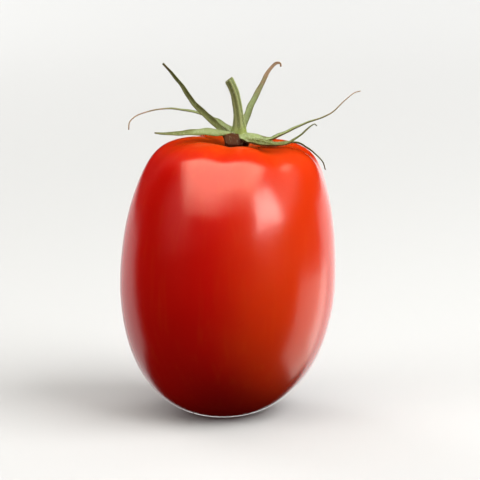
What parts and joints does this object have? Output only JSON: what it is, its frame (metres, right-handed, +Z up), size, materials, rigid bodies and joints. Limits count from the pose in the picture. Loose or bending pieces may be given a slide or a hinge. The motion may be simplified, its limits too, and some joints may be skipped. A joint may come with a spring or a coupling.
{
  "type": "plum tomato",
  "caption": "Ripe red plum tomato standing on its blossom end, with a spidery green calyx and a short curved stem on top.",
  "frame": {"origin": "middle of the small flat spot on the blossom end, which the tomato rests on", "axes": "+Z up from the blossom end to the stem, +X the side that the top leans towards, -Y the side seen in the picture"},
  "size_m": [0.0582, 0.0519, 0.0846],
  "materials": {
    "fruit_skin": "smooth glossy red skin, thin and waxy, a little orange at the shoulder",
    "calyx_green": "dull yellowish green with fine hairs, dried brown at the tips",
    "stem_green": "dull olive green with fine hairs, a browned cut end"
  },
  "bodies": {
    "root": {"fruit": "fruit_skin", "calyx": "calyx_green", "stem": "stem_green"}
  },
  "joints": []
}
